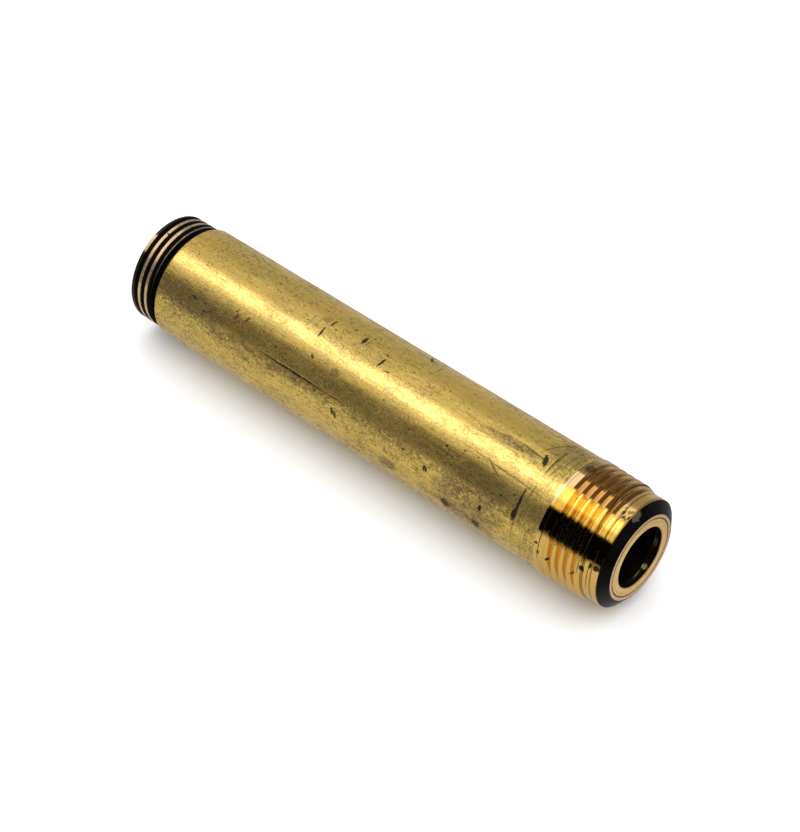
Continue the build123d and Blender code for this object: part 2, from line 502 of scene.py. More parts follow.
# Marks on the barrel: x, angle, half length (mm), half width (degrees), slope
# (degrees per mm), how dark
MARKS = [
    (-11.13, 18, 0.15, 13.5, 0.0, 1.0),
    (-11.20, 27, 0.26, 5.0, 0.0, 1.0),
    (-11.00, 44, 0.07, 14.0, 0.0, 0.5),
    (-11.35, -30, 0.34, 4.0, 10.0, 1.0),
    (-12.9, -31.5, 1.3, 1.3, 1.0, 0.7),
    (-11.65, -52, 0.75, 1.5, -22.0, 0.8),
    (-10.45, -36, 0.11, 15.0, 0.0, 0.75),
    (-10.42, 16, 0.08, 20.0, 0.0, 0.45),
    (-9.45, -50, 0.09, 18.0, 0.0, 0.5),
    (-8.75, -46, 0.08, 20.0, 0.0, 0.5),
    (-39.8, 23.8, 4.9, 0.62, 0.05, 1.0),
    (-40.7, 24.0, 2.9, 1.15, 0.05, 0.9),
    (-35.4, 24.2, 1.9, 0.45, 0.1, 0.7),
    (-39.75, -37.5, 0.13, 4.6, 0.0, 0.9),
    (-40.6, -38.6, 0.42, 3.6, 0.0, 0.55),
    (-41.1, -34, 0.09, 7.0, 0.0, 0.45),
    (-41.9, -28.5, 0.07, 7.5, 0.0, 0.5),
    (-40.0, -23, 0.12, 4.6, 18.0, 1.0),
    (-35.7, -39.3, 0.20, 4.6, 0.0, 1.0),
    (-35.2, -40, 0.10, 4.0, 0.0, 0.6),
    (-37.7, -36, 0.08, 5.0, 0.0, 0.3),
    (-32.35, -28, 0.15, 4.6, -22.0, 1.0),
    (-32.4, -38, 0.85, 0.7, 0.0, 0.7),
    (-39.1, 2, 0.24, 1.9, 6.0, 0.9),
    (-35.9, 4.3, 0.50, 4.6, 0.0, 0.65),
    (-34.6, 37.5, 0.18, 2.4, 10.0, 0.9),
    (-34.2, 39.5, 0.18, 2.4, 10.0, 0.9),
    (-29.4, -69, 0.35, 2.6, 12.0, 0.9),
    (-27.5, -59, 0.14, 6.0, 0.0, 0.6),
    (-25.2, 30.7, 0.16, 1.5, 0.0, 0.9),
    (-22.35, 35.5, 0.13, 2.8, 8.0, 1.0),
    (-22.08, 36.2, 0.13, 2.8, 8.0, 1.0),
    (-18.0, 14, 6.0, 0.45, 0.25, 0.6),
    (-13.5, -1.5, 4.6, 0.50, 0.45, 0.65),
    (-15.2, 1.0, 0.9, 0.8, 5.0, 0.8),
    (-15.05, 41, 0.20, 2.6, 0.0, 1.0),
    (-19.4, 62, 0.5, 4.0, 0.0, 0.8),
    (-15.5, 64, 0.4, 4.5, 0.0, 0.8),
    (-55.0, 13, 0.42, 1.0, 2.0, 1.0),
    (-53.2, 19.6, 0.45, 0.9, 0.0, 0.9),
    (-51.6, 14.5, 1.7, 0.6, -3.0, 0.7),
    (-56.9, 3.6, 0.5, 0.7, 0.0, 0.7),
    (-58.5, -37, 0.9, 0.8, 0.0, 0.4),
    (-49.3, 7.5, 0.24, 2.6, -10.0, 0.9),
    (-48.0, 5.5, 0.20, 2.4, -14.0, 0.9),
    (-17.0, 118, 1.6, 1.0, 1.2, 0.9),
    (-46.0, 150, 2.5, 0.8, -1.0, 0.9),
    (-27.0, -155, 0.16, 6.0, 6.0, 0.9),
    (-52.0, -120, 1.2, 0.9, 4.0, 0.9),
    (-38.0, -170, 0.12, 6.0, 0.0, 0.9),
    (-30.0, 100, 0.14, 5.0, 9.0, 0.9),
]
THREAD_MARKS = [
    (-1.10, 31, 0.34, 2.6, 0.0, 1.0),
    (-1.85, 32, 0.16, 3.0, -6.0, 1.0),
    (-2.65, 39, 0.20, 2.2, 8.0, 1.0),
    (-2.45, 41, 0.10, 3.0, 0.0, 0.9),
    (-3.50, 50.7, 0.16, 1.5, 0.0, 0.8),
    (-6.50, 51, 0.13, 1.5, 0.0, 1.0),
    (-7.90, 39, 0.14, 1.3, 0.0, 1.0),
    (-7.60, 48, 0.12, 2.2, 0.0, 0.8),
    (-7.40, -47.5, 0.45, 5.0, 0.0, 0.85),
    (-3.08, -62, 0.055, 26.0, 0.0, 0.85),
    (-2.24, -42, 0.06, 8.0, 0.0, 0.8),
    (-1.45, -43, 0.05, 7.0, 0.0, 0.5),
    (-1.94, 44, 0.045, 15.0, 0.0, 0.85),
    (-2.95, 38, 0.04, 9.0, 0.0, 0.7),
    (-7.60, 30, 0.045, 26.0, 0.0, 0.9),
    (-7.84, -27, 0.025, 10.0, 0.0, 0.7),
    (-2.22, -9, 0.03, 11.0, 0.0, 0.6),
    (-1.30, -9, 0.03, 11.0, 0.0, 0.6),
    (-1.70, -28, 0.12, 2.2, 10.0, 0.9),
    (-1.45, -24, 0.14, 1.8, -12.0, 0.9),
    (-1.15, -23, 0.15, 1.6, 6.0, 0.8),
    (-0.95, -26, 0.09, 2.2, 0.0, 0.9),
    (-1.30, -31, 0.10, 1.8, 12.0, 0.7),
    (-1.88, -34, 0.08, 1.6, 0.0, 0.6),
    (-1.5, 150, 0.3, 5.0, 0.0, 0.9),
    (-4.6, -140, 0.14, 3.0, 0.0, 0.9),
]


def brass_barrel():
    t = Nodes("old_brass")
    x, r, phi = t.x, t.r, t.phi
    big = t.noise(t.scaled(0.16, 0.26, 0.26), 1.0, 5, 0.6, 0.3)
    mid = t.noise(t.scaled(0.7, 1.1, 1.1, (3, 1, 2)), 1.0, 6, 0.65, 0.4)
    fine = t.noise(t.scaled(2.6, 3.6, 3.6, (7, 5, 1)), 1.0, 6, 0.72, 0.3)
    grit = t.noise(t.scaled(6.0, 8.0, 8.0, (2, 8, 1)), 1.0, 4, 0.7)
    drawn = t.noise(t.scaled(0.12, 4.5, 4.5, (1, 9, 4)), 1.0, 5, 0.65)
    drawn_fine = t.noise(t.scaled(0.30, 13.0, 13.0, (5, 2, 8)), 1.0, 4, 0.65)
    turned = t.noise(t.scaled(14.0, 0.12, 0.12, (2, 2, 2)), 1.0, 4, 0.6)
    cross = t.noise(t.scaled(5.0, 0.55, 0.55, (6, 3, 3)), 1.0, 4, 0.65)
    wob = t.mul(t.sub(mid, 0.5), 1.8)
    wob_fine = t.mul(t.sub(fine, 0.5), 1.5)
    ragged = t.noise(t.scaled(5.0, 5.0, 5.0, (3, 8, 6)), 1.0, 3, 0.6)
    wob_line = t.add(t.mul(t.sub(fine, 0.5), 1.6), t.mul(t.sub(ragged, 0.5), 1.6))

    is_near = t.ramp(x, NEAR_START - 0.10, NEAR_START + 0.02)
    is_far = t.ramp(x, SHOULDER_X + 0.03, SHOULDER_X - 0.03)
    is_body = t.m("SUBTRACT", t.sub(1.0, is_near), is_far, clamp=True)
    beside = t.mul(t.ramp(x, -12.0, -10.6), is_body)

    # the film of tarnish: clouds, drawn streaks, and a fine mottle all over
    cloud = t.ramp(t.add(t.mul(big, 0.62), t.add(t.mul(mid, 0.38), t.mul(drawn, 0.22))), 0.50, 0.76)
    worm = t.noise(t.scaled(1.5, 2.3, 2.3, (5, 9, 9)), 1.0, 4, 0.6, 1.6)
    mottle = t.ramp(t.add(t.mul(worm, 0.62), t.add(t.mul(fine, 0.26), t.mul(grit, 0.12))), 0.43, 0.60)
    streak = t.ramp(t.add(t.mul(drawn, 0.5), t.mul(drawn_fine, 0.5)), 0.44, 0.62)
    # hair-fine cracks and scuffs: the contours of a noise, here and there
    hair_a = t.noise(t.scaled(0.55, 1.5, 1.5, (4, 4, 1)), 1.0, 3, 0.55, 0.8)
    hair_b = t.noise(t.scaled(1.5, 0.9, 0.9, (1, 7, 3)), 1.0, 4, 0.6, 1.2)
    hair_c = t.noise(t.scaled(0.25, 2.6, 2.6, (9, 2, 5)), 1.0, 2, 0.5, 0.4)
    line_a = t.mul(t.ramp(t.m("ABSOLUTE", t.sub(hair_a, 0.5)), 0.011, 0.003), t.ramp(mid, 0.43, 0.53))
    line_b = t.mul(t.ramp(t.m("ABSOLUTE", t.sub(hair_b, 0.5)), 0.013, 0.004), t.ramp(big, 0.42, 0.55))
    line_c = t.mul(t.ramp(t.m("ABSOLUTE", t.sub(hair_c, 0.52)), 0.010, 0.003), t.ramp(fine, 0.40, 0.55))
    hairs = t.most(line_a, line_b, line_c)
    hair_d = t.noise(t.scaled(1.1, 1.3, 1.3, (8, 3, 2)), 1.0, 3, 0.6, 1.4)
    scuffs = t.mul(t.ramp(t.m("ABSOLUTE", t.sub(hair_d, 0.5)), 0.014, 0.004), t.ramp(mid, 0.44, 0.54))
    pits = t.mul(t.ramp(t.cells(t.scaled(1.5, 1.6, 1.6), 1.0), 0.17, 0.08), t.ramp(mid, 0.49, 0.58))
    pits2 = t.mul(t.ramp(t.cells(t.scaled(0.62, 0.70, 0.70, (5, 5, 5)), 1.0), 0.13, 0.06), t.ramp(fine, 0.40, 0.52))

    brown_stains_and_shade = t.most(
        t.blob(-16.9, 47, 3.9, 26, wob),
        t.mul(t.blob(-15.6, 20, 3.4, 16, wob), 0.7),
        t.mul(t.blob(-55.4, 19, 4.8, 12, wob), 0.8),
        t.blob(-27.0, 57, 1.1, 7, wob_fine),
        t.mul(t.blob(-15.2, -28, 2.9, 4.5, wob), 0.9),
        t.mul(t.blob(-47.5, 34, 5.5, 9, wob), 0.55),
        t.mul(t.blob(-33.0, 150, 9.0, 30, wob), 0.7),
        t.mul(t.blob(-50.0, -130, 8.0, 26, wob), 0.7),
        t.mul(t.blob(-20.0, -150, 6.0, 24, wob), 0.6),
        t.mul(t.blob(-10.2, -52, 1.9, 22, wob), 0.75),
        # painted shade: this patch below the long scratch stands for the shaded side of a bulge
        t.mul(t.blob(-40.0, 29, 4.6, 4.5, wob_line), 0.95),
        t.mul(t.blob(-15.3, 43, 3.1, 14, wob), 0.95),
        t.mul(t.blob(-18.5, 60, 2.2, 9, wob), 0.9),
    )
    brown_stains_and_shade = t.mul(brown_stains_and_shade, t.ramp(t.add(t.mul(mid, 0.4), t.mul(fine, 0.6)), 0.40, 0.58, 0.30, 1.0))
    # painted shade: a green-black mottled band along the side that faces down a little, where the dark side of the room
    # is reflected
    painted_dark_band = t.mul(t.ramp(t.m("ABSOLUTE", t.sub(phi, 20.5)), 17.5, 9), t.ramp(t.add(t.mul(worm, 0.55), t.mul(fine, 0.45)), 0.43, 0.56))
    painted_dark_band = t.mul(painted_dark_band, t.ramp(big, 0.25, 0.55, 0.6, 1.0))

    dark = t.most(*[t.mul(t.cut(a, b, c, d, e, wob_line), f) for a, b, c, d, e, f in MARKS])

    # painted highlight: the fine marks are faded along the band where the lamp's highlight falls, so the highlight
    # stays clean
    marks_faded_in_highlight = t.ramp(t.m("ABSOLUTE", t.add(phi, 11.5)), 5.0, 13.0, 0.30, 1.0)
    hairs, pits, pits2 = t.mul(hairs, marks_faded_in_highlight), t.mul(pits, marks_faded_in_highlight), t.mul(pits2, marks_faded_in_highlight)
    bright = (0.90, 0.60, 0.140)
    olive = (0.68, 0.475, 0.118)
    umber = (0.17, 0.115, 0.052)
    soot = (0.0055, 0.0042, 0.0032)
    body_colour = t.mix(t.mul(cloud, 0.85), bright, olive)
    body_colour = t.mix(t.mul(streak, 0.46), body_colour, (0.46, 0.33, 0.085))
    body_colour = t.mix(t.mul(mottle, 0.42), body_colour, (0.36, 0.27, 0.070))
    body_colour = t.mix(t.mul(painted_dark_band, 0.62), body_colour, (0.15, 0.128, 0.048))
    body_colour = t.mix(t.mul(brown_stains_and_shade, 0.92), body_colour, umber)
    body_colour = t.mix(t.mul(scuffs, 0.55), body_colour, (0.95, 0.72, 0.26))
    body_colour = t.mix(t.mul(t.most(hairs, pits, pits2), 0.92), body_colour, (0.030, 0.020, 0.009))
    # where the rings are, their grooves hold dirt
    ring_dirt = t.mul(beside, t.ramp(cross, 0.52, 0.66))
    body_colour = t.mix(t.mul(ring_dirt, 0.6), body_colour, (0.12, 0.085, 0.035))
    body_colour = t.mix(t.mul(dark, 0.96), body_colour, soot)

    # the near thread: cut brass, brighter and warmer, with residue in the roots
    crest_r = t.add(t.ramp(x, FULL_X, LEAD_X, NEAR_MID_R - NEAR_TAPER, LEAD_R, "LINEAR"), t.mul(t.m("MAXIMUM", t.sub(FULL_X, x), 0.0), 2 * NEAR_TAPER / 5.05))
    depth = t.sub(crest_r, r)
    lead = t.ramp(x, -3.0, -2.6)
    land = t.mul(t.ramp(depth, 0.14, 0.05), t.mul(t.ramp(x, -2.1, -2.3), t.ramp(x, -7.20, -7.12)))
    wall = t.mul(t.sub(1.0, land), t.sub(1.0, lead))
    root = t.mul(t.ramp(t.add(depth, t.mul(t.sub(fine, 0.5), 0.16)), 0.34, 0.46), t.sub(1.0, lead))
    thread_colour = t.mix(t.ramp(turned, 0.4, 0.65), (0.93, 0.545, 0.085), (0.84, 0.48, 0.07))
    thread_colour = t.mix(t.mul(t.ramp(mid, 0.50, 0.68), 0.30), thread_colour, (0.55, 0.34, 0.09))
    # above the highlight its walls are painted pale, a painted reflection of the bright end, and its lands are painted
    # dark, painted shade where they mirror the dark; low down the walls are painted darker, as painted shade
    thread_above_highlight = t.mul(t.ramp(phi, -19.5, -22.5), t.ramp(phi, -80.0, -60.0, 0.35, 1.0))
    thread_low_shade = t.ramp(phi, 22.0, 32.0)
    thread_colour = t.mix(t.mul(t.m("MAXIMUM", wall, t.mul(lead, 0.5)), t.mul(thread_above_highlight, 0.95)), thread_colour, (1.0, 0.70, 0.33))
    thread_colour = t.mix(t.mul(thread_low_shade, 0.80), thread_colour, (0.74, 0.47, 0.13))
    thread_colour = t.mix(t.mul(root, 0.25), thread_colour, (0.10, 0.045, 0.015))
    thread_colour = t.mix(t.mul(land, t.mul(thread_above_highlight, 0.97)), thread_colour, (0.11, 0.036, 0.010))
    # painted sheen: fine pale crest edges across the dark band, where nothing bright is reflected
    painted_edge_sheen = t.mul(t.ramp(t.m("ABSOLUTE", t.sub(depth, 0.33)), 0.09, 0.03), t.mul(t.ramp(phi, 1.0, 6.0), t.ramp(phi, 31.0, 25.0)))
    painted_edge_sheen = t.mul(painted_edge_sheen, t.mul(t.sub(1.0, lead), t.ramp(mid, 0.40, 0.56, 0.25, 1.0)))
    thread_colour = t.mix(t.mul(painted_edge_sheen, 0.7), thread_colour, (0.30, 0.27, 0.22))
    scored = t.mul(lead, t.ramp(depth, 0.015, 0.05))
    thread_colour = t.mix(t.mul(scored, 0.7), thread_colour, (0.24, 0.11, 0.03))
    # painted shade: the dark band below the highlight, where the thread mirrors the dark side of the room, is painted
    # near-black
    thread_dark_band_paint = t.mul(t.ramp(t.add(phi, t.mul(t.sub(fine, 0.5), 5.0)), -0.5, 4.5), t.ramp(t.add(phi, t.mul(t.sub(mid, 0.5), 9.0)), 32.0, 25.0))
    thread_colour = t.mix(t.mul(thread_dark_band_paint, 0.93), thread_colour, (0.020, 0.013, 0.011))
    # the painted sheen of the crest edges again, over the painted dark band
    thread_colour = t.mix(t.mul(painted_edge_sheen, 0.6), thread_colour, (0.20, 0.18, 0.15))
    # its upper side is browner
    thread_upper_brown = t.mul(t.ramp(t.add(phi, t.mul(t.sub(fine, 0.5), 4.0)), -36.5, -38.5), t.ramp(phi, -175.0, -100.0))
    thread_upper_brown = t.mul(thread_upper_brown, t.ramp(phi, -78.0, -52.0, 0.30, 1.0))
    thread_upper_brown = t.mul(thread_upper_brown, t.ramp(t.add(t.mul(mid, 0.5), t.mul(cross, 0.5)), 0.34, 0.56, 0.55, 1.0))
    thread_upper_brown = t.mul(thread_upper_brown, t.sub(1.0, t.mul(lead, 0.50)))
    thread_colour = t.mix(t.mul(thread_upper_brown, 0.88), thread_colour, (0.26, 0.130, 0.030))
    # painted highlight: the edge where the thread starts is painted bright, only across the band near the lamp's
    # highlight
    start_edge_highlight = t.mul(t.ramp(t.m("ABSOLUTE", t.add(x, 7.98)), 0.14, 0.05), t.mul(t.ramp(phi, -39.0, -35.0), t.ramp(phi, 2.0, -3.0)))
    thread_colour = t.mix(t.mul(start_edge_highlight, 0.8), thread_colour, (1.0, 0.80, 0.46))
    dull = t.mul(t.ramp(phi, 95.0, 160.0), t.ramp(mid, 0.4, 0.6))
    thread_colour = t.mix(t.mul(dull, 0.6), thread_colour, (0.30, 0.18, 0.07))
    near_specks = t.mul(t.ramp(t.cells(t.scaled(1.6, 1.7, 1.7, (3, 0, 1)), 1.0), 0.15, 0.09), t.ramp(mid, 0.46, 0.54))
    near_specks = t.most(
        t.mul(near_specks, 0.6),
        *[t.mul(t.cut(a, b, c, d, e, wob_fine), f) for a, b, c, d, e, f in THREAD_MARKS],
    )
    thread_colour = t.mix(t.mul(near_specks, 0.92), thread_colour, soot)

    # the far thread: its lands are gold, and everything below them is painted black, painted shade in the grooves
    far_depth = t.sub(FAR_R, r)
    black = t.ramp(t.add(far_depth, t.mul(t.sub(fine, 0.5), 0.07)), 0.010, 0.060)
    far_colour = t.mix(t.ramp(mid, 0.40, 0.62), (0.72, 0.50, 0.24), (0.55, 0.40, 0.19))
    far_colour = t.mix(t.mul(t.ramp(grit, 0.5, 0.65), 0.5), far_colour, (0.60, 0.36, 0.22))
    # painted shade: its lands are darkened away from the band where the lamp's highlight falls, below and above it
    dim_side = t.add(t.mul(t.ramp(phi, 1.0, 6.0), t.ramp(phi, 34.0, 28.0)), t.ramp(phi, -34.0, -46.0))
    far_colour = t.mix(t.mul(dim_side, t.ramp(fine, 0.36, 0.58, 0.45, 0.85)), far_colour, (0.17, 0.15, 0.105))
    third = t.mul(t.ramp(x, -61.35, -61.15), t.ramp(fine, 0.34, 0.60, 0.55, 0.95))
    far_colour = t.mix(third, far_colour, (0.13, 0.11, 0.095))
    # painted highlight: the last crest is near-black except along the band of the lamp's highlight
    last = t.ramp(x, -63.10, -63.25)
    far_highlight_band = t.mul(t.ramp(phi, -22.0, -18.0), t.ramp(phi, 2.0, -2.0))
    far_colour = t.mix(t.mul(last, t.sub(0.96, t.mul(far_highlight_band, 0.9))), far_colour, (0.015, 0.012, 0.010))
    far_colour = t.mix(t.mul(black, 0.99), far_colour, (0.0022, 0.0017, 0.0015))

    colour = t.mix(is_near, body_colour, thread_colour)
    colour = t.mix(is_far, colour, far_colour)
    t.put(colour, t.bsdf.inputs["Base Color"])
    t.bsdf.inputs["Specular IOR Level"].default_value = 0.12

    # the tarnish isn't bare metal any more
    film = t.add(0.10, t.mul(cloud, 0.05))
    film = t.add(film, t.mul(mottle, 0.05))
    film = t.most(film, t.mul(brown_stains_and_shade, 0.35), t.mul(painted_dark_band, 0.30), t.mul(hairs, 0.4), t.mul(dark, 0.8))
    film_near = t.add(t.add(0.003, t.mul(painted_edge_sheen, 0.10)), t.mul(t.most(near_specks, t.mul(thread_upper_brown, 0.15)), 0.35))
    film_far = t.add(0.50, t.mul(black, 0.2))
    film = t.add(t.mul(is_body, film), t.add(t.mul(is_near, film_near), t.mul(is_far, film_far)))
    t.put(t.m("SUBTRACT", 1.0, film, clamp=True), t.bsdf.inputs["Metallic"])

    rough_body = t.add(0.165, t.mul(cloud, 0.09))
    rough_body = t.add(rough_body, t.mul(t.sub(drawn_fine, 0.5), 0.12))
    rough_body = t.add(rough_body, t.mul(mottle, 0.08))
    rough_body = t.add(rough_body, t.mul(t.most(brown_stains_and_shade, painted_dark_band), 0.14))
    rough_body = t.add(rough_body, t.mul(t.most(dark, hairs), 0.25))
    rough_near = t.add(0.07, t.mul(t.most(t.mul(root, 0.3), near_specks), 0.35))
    rough_near = t.add(rough_near, t.add(t.mul(mid, 0.05), t.mul(thread_upper_brown, 0.20)))
    rough_far = t.add(0.34, t.mul(black, 0.22))
    rough = t.add(t.mul(is_body, rough_body), t.add(t.mul(is_near, rough_near), t.mul(is_far, rough_far)))
    t.put(t.m("MAXIMUM", rough, 0.07), t.bsdf.inputs["Roughness"])

    height = t.mul(t.add(t.mul(drawn, 0.45), t.add(t.mul(drawn_fine, 0.30), t.mul(fine, 0.55))), is_body)
    height = t.sub(height, t.mul(t.mul(t.most(pits, pits2, t.mul(hairs, 0.8)), is_body), 0.6))
    height = t.sub(height, t.mul(t.add(t.mul(dark, is_body), t.mul(t.mul(near_specks, is_near), 0.5)), 0.9))
    height = t.add(height, t.mul(turned, t.add(t.mul(t.add(is_near, is_far), 0.05), t.mul(t.mul(beside, is_body), 0.5))))
    height = t.add(height, t.mul(t.mul(t.mul(cross, beside), is_body), 1.1))
    t.put(t.bump(height, 0.013, 0.85), t.bsdf.inputs["Normal"])
    return t.mat


def black_chamfer():
    t = Nodes("blackened_chamfer")
    fine = t.noise(t.scaled(2.2, 2.2, 2.2, (1, 2, 3)), 1.0, 5, 0.6)
    turned = t.noise(t.scaled(22.0, 0.1, 0.1), 1.0, 3, 0.6)
    big = t.noise(t.scaled(0.35, 0.35, 0.35, (4, 0, 9)), 1.0, 4, 0.6)
    colour = t.mix(t.ramp(fine, 0.40, 0.72), (0.0012, 0.0009, 0.0008), (0.0042, 0.0032, 0.0024))
    scuff = t.mul(t.ramp(t.noise(t.scaled(3.0, 3.0, 3.0, (8, 1, 1)), 1.0, 5, 0.7), 0.60, 0.70), t.ramp(big, 0.50, 0.62))
    colour = t.mix(t.mul(scuff, 0.25), colour, (0.05, 0.035, 0.02))
    # painted sheen: a grey patch on the black, where the lamp's reflection falls
    wob = t.mul(t.sub(t.noise(t.scaled(1.6, 1.6, 1.6, (5, 1, 1)), 1.0, 5, 0.65), 0.5), 1.6)
    thin = t.blob(-0.58, -33.0, 0.24, 6.0, wob)
    colour = t.mix(t.mul(thin, 0.9), colour, (0.10, 0.074, 0.052))
    # painted reflection: the lower side is lighter, where the table is reflected
    floor_reflection_paint = t.mul(t.ramp(t.phi, 48.0, 70.0), t.ramp(t.phi, 120.0, 95.0))
    colour = t.mix(t.mul(floor_reflection_paint, 0.7), colour, (0.022, 0.019, 0.016))
    t.put(colour, t.bsdf.inputs["Base Color"])
    t.bsdf.inputs["Metallic"].default_value = 0.0
    t.bsdf.inputs["Specular IOR Level"].default_value = 0.05
    t.put(t.add(0.20, t.mul(fine, 0.14)), t.bsdf.inputs["Roughness"])
    t.put(t.bump(t.add(t.mul(turned, 0.7), t.mul(fine, 0.3)), 0.008, 0.6), t.bsdf.inputs["Normal"])
    return t.mat


def face_brass(name):
    t = Nodes(name)
    r = t.r
    mid = t.noise(t.scaled(1.1, 1.1, 1.1, (1, 1, 6)), 1.0, 5, 0.6)
    fine = t.noise(t.scaled(5.0, 5.0, 5.0, (9, 1, 6)), 1.0, 4, 0.6)
    off = t.mul(t.sub(mid, 0.5), 0.10)
    rr = t.add(r, off)
    # bore edge, the liner's gold face, the seam, the barrel's paler face, and a painted highlight on its rim
    tone = t.mix(t.ramp(mid, 0.38, 0.66), (0.92, 0.60, 0.20), (0.78, 0.50, 0.17))
    outer = t.mix(t.ramp(fine, 0.38, 0.66), (0.84, 0.58, 0.33), (0.68, 0.44, 0.22))
    tone = t.mix(t.ramp(rr, LINER_R - 0.02, LINER_R + 0.10), tone, outer)
    groove = t.most(
        t.ramp(t.m("ABSOLUTE", t.sub(rr, LINER_R + 0.01)), 0.13, 0.05),
        t.mul(t.ramp(t.m("ABSOLUTE", t.sub(rr, LINER_R - 0.34)), 0.07, 0.02), 0.45),
        t.mul(t.ramp(t.m("ABSOLUTE", t.sub(rr, LINER_R + 0.30)), 0.05, 0.02), 0.40),
        t.mul(t.ramp(rr, BORE_R + 0.14, BORE_R + 0.05), 0.6),
    )
    tone = t.mix(t.mul(groove, 0.82), tone, (0.15, 0.075, 0.030))
    # painted highlight: a bright line round the outer edge of the near face
    rim_highlight_paint = t.mul(t.ramp(r, NEAR_FACE_R - 0.16, NEAR_FACE_R - 0.07), t.ramp(t.x, -30.0, -29.0))
    tone = t.mix(t.mul(rim_highlight_paint, 0.8), tone, (1.0, 0.74, 0.50))
    tone = t.mix(t.mul(t.ramp(fine, 0.60, 0.72), 0.35), tone, (0.25, 0.16, 0.07))
    # the hidden end is darkened towards its rim, as dark as the thread beside it
    darker_end_rim = t.mul(t.ramp(t.x, -30.0, -31.0), t.ramp(t.add(rr, t.mul(fine, 0.8)), 5.2, 5.7))
    tone = t.mix(t.mul(darker_end_rim, 0.9), tone, (0.012, 0.009, 0.007))
    t.put(tone, t.bsdf.inputs["Base Color"])
    t.put(t.sub(0.84, t.mul(t.most(groove, darker_end_rim), 0.3)), t.bsdf.inputs["Metallic"])
    t.bsdf.inputs["Specular IOR Level"].default_value = 0.15
    t.put(t.add(0.18, t.add(t.mul(mid, 0.12), t.mul(groove, 0.2))), t.bsdf.inputs["Roughness"])
    height = t.add(t.mul(t.m("SINE", t.mul(r, 48.0)), 0.35), t.mul(fine, 0.5))
    height = t.sub(height, t.mul(groove, 1.5))
    t.put(t.bump(height, 0.010, 0.7), t.bsdf.inputs["Normal"])
    return t.mat


def bore_painted_shade():
    t = Nodes("bore_painted_shade")
    mid = t.noise(t.scaled(0.5, 1.3, 1.3), 1.0, 5, 0.6)
    fine = t.noise(t.scaled(4.0, 4.0, 4.0, (2, 0, 0)), 1.0, 5, 0.65)
    # painted shade: the bore's wall is painted near-black inside the bore, lighter only at the mouth
    colour = t.mix(t.ramp(mid, 0.42, 0.68), (0.012, 0.009, 0.007), (0.034, 0.023, 0.013))
    lip = t.ramp(t.add(t.x, t.mul(t.sub(fine, 0.5), 0.2)), -0.14, -0.05)
    colour = t.mix(t.mul(lip, 0.7), colour, (0.45, 0.30, 0.12))
    # painted glints: two bright reflections on the bore wall, and a faint third
    bore_glints = t.most(t.blob(-0.52, 171, 0.30, 5.0), t.mul(t.blob(-0.62, 153, 0.09, 11.0), 0.8), t.mul(t.blob(-0.6, 219, 0.20, 9.0), 0.25))
    colour = t.mix(t.mul(bore_glints, 0.85), colour, (0.50, 0.43, 0.16))
    t.put(colour, t.bsdf.inputs["Base Color"])
    t.bsdf.inputs["Metallic"].default_value = 0.85
    t.bsdf.inputs["Specular IOR Level"].default_value = 0.15
    t.put(t.add(0.30, t.mul(mid, 0.25)), t.bsdf.inputs["Roughness"])
    t.put(t.bump(t.add(mid, t.mul(fine, 0.4)), 0.02, 0.6), t.bsdf.inputs["Normal"])
    return t.mat


old_brass = brass_barrel()
chamfer_black = black_chamfer()
ring_brass = face_brass("faced_brass")
bore_shade_material = bore_painted_shade()

for material in (old_brass, chamfer_black, ring_brass):
    barrel.data.materials.append(material)
slots = {CHAMFER: 1, FACE: 2, FARFACE: 2}
tag_of_face = barrel_tags[row_of_face]
slot = np.zeros(len(barrel.data.polygons), np.int32)
for tag, k in slots.items():
    slot[tag_of_face == tag] = k
barrel.data.polygons.foreach_set("material_index", slot)

for material in (ring_brass, bore_shade_material):
    liner.data.materials.append(material)
liner_tags = np.array([c[2] for c in path(*[list(c) for c in zip(*liner_corners)])])
liner.data.polygons.foreach_set("material_index", liner_tags[_[0]].astype(np.int32))

for piece, node, slot_name in ((barrel, "outer_barrel", "barrel_brass"), (liner, "bore_liner", "liner_brass")):
    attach(piece, "root")
    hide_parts(node)

# ------------------------------------------------------------------------ floor
# A pale table. The brass sees a greyer one than the camera does, as a table lit
# this hard would otherwise wash out everything that it's reflected in.
floor_z = cad_lo.z
side = 3.0


def table(name, z, grey, dim):
    mesh = bpy.data.meshes.new(name)
    mesh.from_pydata([(-side, -side, z), (side, -side, z), (side, side, z), (-side, side, z)], [], [(0, 1, 2, 3)])
    piece = bpy.data.objects.new(name, mesh)
    bpy.context.scene.collection.objects.link(piece)
    n = Nodes(name)
    shade = n.m("MULTIPLY", grey, 1.0)
    if dim:
        # painted shade: it falls off beyond the near end, and is darker towards +Y
        ahead_of = n.mul(n.ramp(n.x, 13.0, 24.0), n.ramp(n.m("ABSOLUTE", n.add(n.y, 8.0)), 60.0, 42.0))
        ahead_of = n.mul(ahead_of, n.ramp(n.x, 110.0, 80.0))
        shade = n.mul(shade, n.sub(1.0, n.mul(ahead_of, 0.94)))
        shade = n.mul(shade, n.ramp(n.y, 3.0, 14.0, 1.0, 0.66))
    mixed = n.nt.nodes.new("ShaderNodeCombineColor")
    for k in range(3):
        n.put(shade, mixed.inputs[k])
    n.put(mixed.outputs[0], n.bsdf.inputs["Base Color"])
    # the reflected table also glows, a painted light that the brass reflects
    if dim:
        n.put(mixed.outputs[0], n.bsdf.inputs["Emission Color"])
        n.bsdf.inputs["Emission Strength"].default_value = 1.1
    n.bsdf.inputs["Roughness"].default_value = 0.9
    n.bsdf.inputs["Specular IOR Level"].default_value = 0.0
    piece.data.materials.append(n.mat)
    return piece


seen_floor = table("pale_table", floor_z, 0.93, False)
seen_floor.visible_glossy = False
seen_floor.visible_diffuse = False
seen_floor.visible_shadow = False
lit_floor = table("pale_table_reflected", floor_z - 0.00002, 0.30, True)
lit_floor.visible_camera = False

